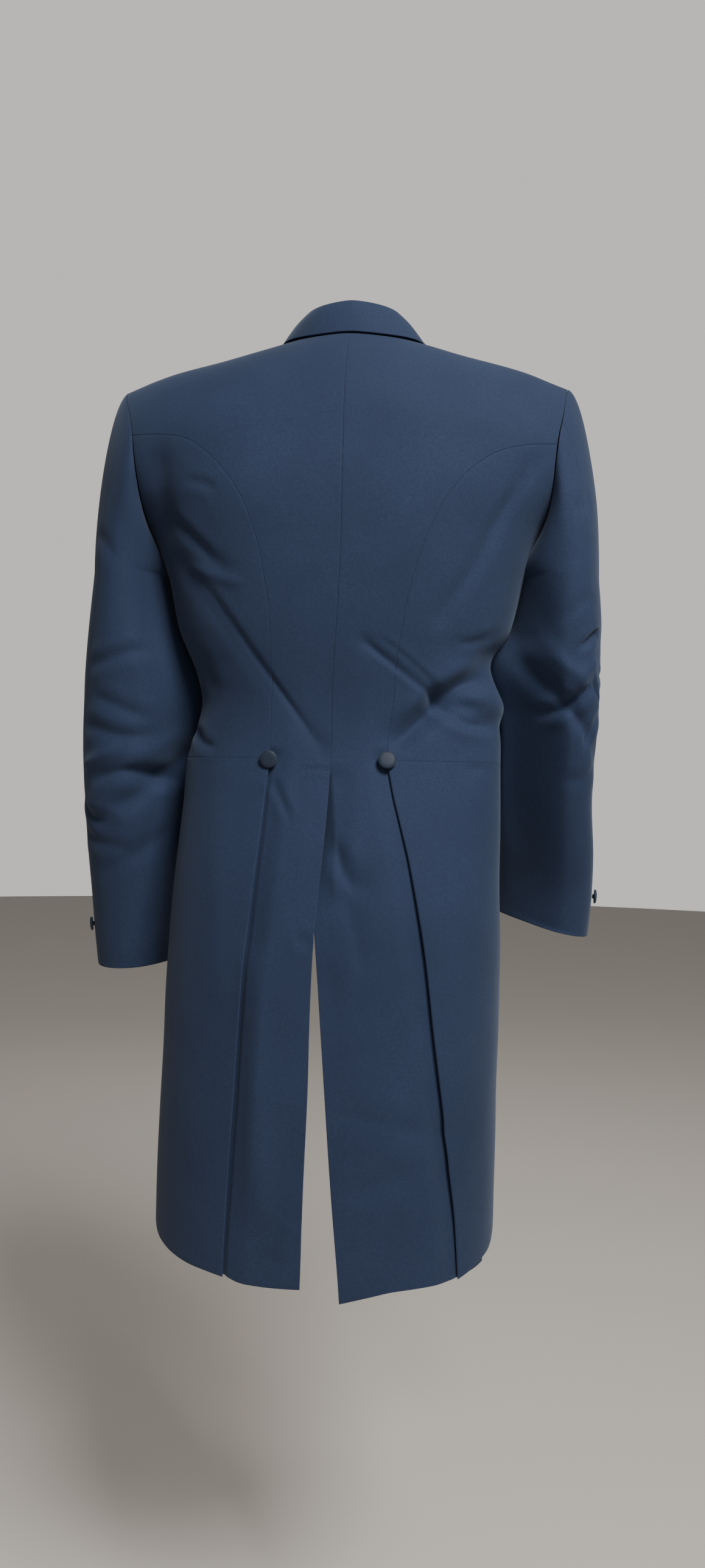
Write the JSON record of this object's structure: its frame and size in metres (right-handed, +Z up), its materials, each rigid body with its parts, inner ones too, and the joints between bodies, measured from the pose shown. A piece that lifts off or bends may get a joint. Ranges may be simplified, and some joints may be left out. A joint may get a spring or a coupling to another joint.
{
  "type": "evening tailcoat",
  "caption": "Black evening tailcoat held in its worn form: fitted waist, cutaway skirts, two long tails parted by a lapped back vent, set-in sleeves, notched collar and satin-faced lapels",
  "frame": {"origin": "Where the coat is held up: on the wearer's centre line, level with the points where the shoulder seams meet the neck", "axes": "+Z up, -Y the way the wearer faces, +X the wearer's left"},
  "size_m": [0.5497, 0.2739, 0.9735],
  "materials": {
    "wool": "matt",
    "satin": "satin",
    "button_cloth": "matt"
  },
  "bodies": {
    "root": {"back_left": "wool", "back_right": "wool", "side_body_left": "wool", "side_body_right": "wool", "front_left": "wool", "front_right": "wool", "skirt_left": "wool", "skirt_right": "wool", "top_sleeve_left": "wool", "top_sleeve_right": "wool", "under_sleeve_left": "wool", "under_sleeve_right": "wool", "collar": "wool", "lapel_left": "satin", "lapel_right": "satin", "waist_button_left": "button_cloth", "waist_button_right": "button_cloth", "front_button_left_1": "button_cloth", "front_button_left_2": "button_cloth", "front_button_left_3": "button_cloth", "front_button_right_1": "button_cloth", "front_button_right_2": "button_cloth", "front_button_right_3": "button_cloth", "cuff_button_left": "button_cloth", "cuff_button_right": "button_cloth"}
  },
  "joints": []
}
